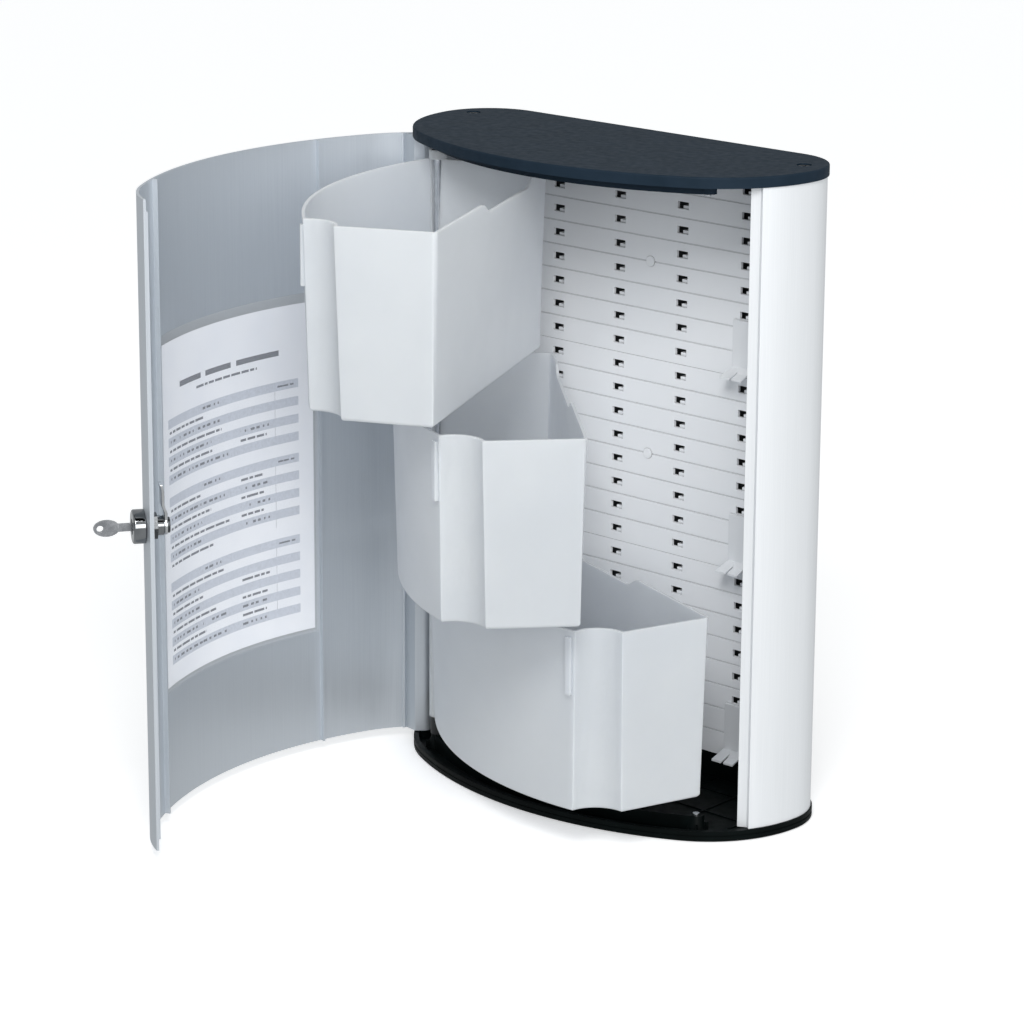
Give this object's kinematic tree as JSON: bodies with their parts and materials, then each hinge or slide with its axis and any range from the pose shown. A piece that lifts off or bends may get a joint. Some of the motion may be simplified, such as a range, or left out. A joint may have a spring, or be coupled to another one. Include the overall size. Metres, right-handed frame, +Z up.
{
  "type": "medicine cabinet",
  "caption": "Wall-mounted first-aid cabinet with curved lockable door, swing-out trays on a rod, slotted back panel and a document pocket inside the door.",
  "frame": {"origin": "on the wall, at the middle wall screw, the centre of the cabinet's back", "axes": "+X to the right seen from the front, +Y into the wall, +Z up; the door faces -Y"},
  "size_m": [0.3111, 0.3538, 0.4],
  "materials": {
    "cap_graphite": "fine-textured graphite",
    "cap_black": "black",
    "profile_silver": "silver anodised",
    "door_silver": "brushed, silver anodised",
    "panel_white": "white, satin",
    "liner_grey": "dark grey, matt",
    "catch_white": "white, satin",
    "screw_steel": "zinc plated",
    "rod_steel": "bright drawn",
    "bush_black": "black",
    "pocket_film": "clear film",
    "sheet_paper": "plain",
    "lock_chrome": "polished",
    "washer_black": "black",
    "nut_steel": "nickel plated",
    "cam_steel": "nickel plated",
    "cam_screw_steel": "blackened",
    "key_steel": "nickel plated",
    "tray_translucent": "milky translucent"
  },
  "bodies": {
    "cabinet": {"top_cap": "cap_graphite", "bottom_cap": "cap_black", "right_side_profile": "profile_silver", "left_side_profile": "profile_silver", "back_panel_upper": "panel_white", "back_panel_middle": "panel_white", "back_panel_lower": "panel_white", "back_liner_upper": "liner_grey", "back_liner_middle": "liner_grey", "back_liner_lower": "liner_grey", "tray_catch_upper": "catch_white", "tray_catch_middle": "catch_white", "tray_catch_lower": "catch_white", "screw_hole_caps": "panel_white", "top_cap_screws": "screw_steel", "bottom_cap_screws": "screw_steel", "tray_rod": "rod_steel", "rod_spacer": "bush_black", "spare_boss_pins": "rod_steel", "door_hinge_pins": "rod_steel"},
    "door": {"door_panel": "door_silver", "door_hinge_bushes": "bush_black", "document_pocket": "pocket_film", "contents_sheet": "sheet_paper", "lock_housing": "lock_chrome", "lock_washer": "washer_black", "lock_nut": "nut_steel"},
    "lock_barrel": {"lock_plug": "lock_chrome", "lock_cam": "cam_steel", "cam_screw": "cam_screw_steel", "key": "key_steel"},
    "upper_tray_unit": {"upper_tray": "tray_translucent", "upper_tray_bushes": "bush_black"},
    "middle_tray_unit": {"middle_tray": "tray_translucent", "middle_tray_bushes": "bush_black"},
    "lower_tray_unit": {"lower_tray": "tray_translucent", "lower_tray_bushes": "bush_black"}
  },
  "joints": [
    {"name": "door_hinge", "type": "hinge", "parent": "cabinet", "child": "door", "pos_m": [-0.12696, -0.07696, 0], "axis": [0, 0, 1], "range_deg": [-16.3, 83.7]},
    {"name": "upper_tray_swing", "type": "hinge", "parent": "cabinet", "child": "upper_tray_unit", "pos_m": [-0.1055, -0.087, 0.1256], "axis": [0, 0, 1], "range_deg": [-20.6, 65.6]},
    {"name": "middle_tray_swing", "type": "hinge", "parent": "cabinet", "child": "middle_tray_unit", "pos_m": [-0.1055, -0.087, 0.0044], "axis": [0, 0, 1], "range_deg": [-42.9, 43.3]},
    {"name": "lower_tray_swing", "type": "hinge", "parent": "cabinet", "child": "lower_tray_unit", "pos_m": [-0.1055, -0.087, -0.1168], "axis": [0, 0, 1], "range_deg": [-66, 20.2]},
    {"name": "lock_turn", "type": "hinge", "parent": "door", "child": "lock_barrel", "pos_m": [-0.10842, -0.32926, 0], "axis": [0.5693, 0.8221, 0], "range_deg": [0, 90]}
  ],
  "couplings": [
    {"joint": "upper_tray_swing", "follows": "door_hinge", "ratio": 0.7837},
    {"joint": "middle_tray_swing", "follows": "door_hinge", "ratio": 0.5173},
    {"joint": "lower_tray_swing", "follows": "door_hinge", "ratio": 0.2413}
  ]
}
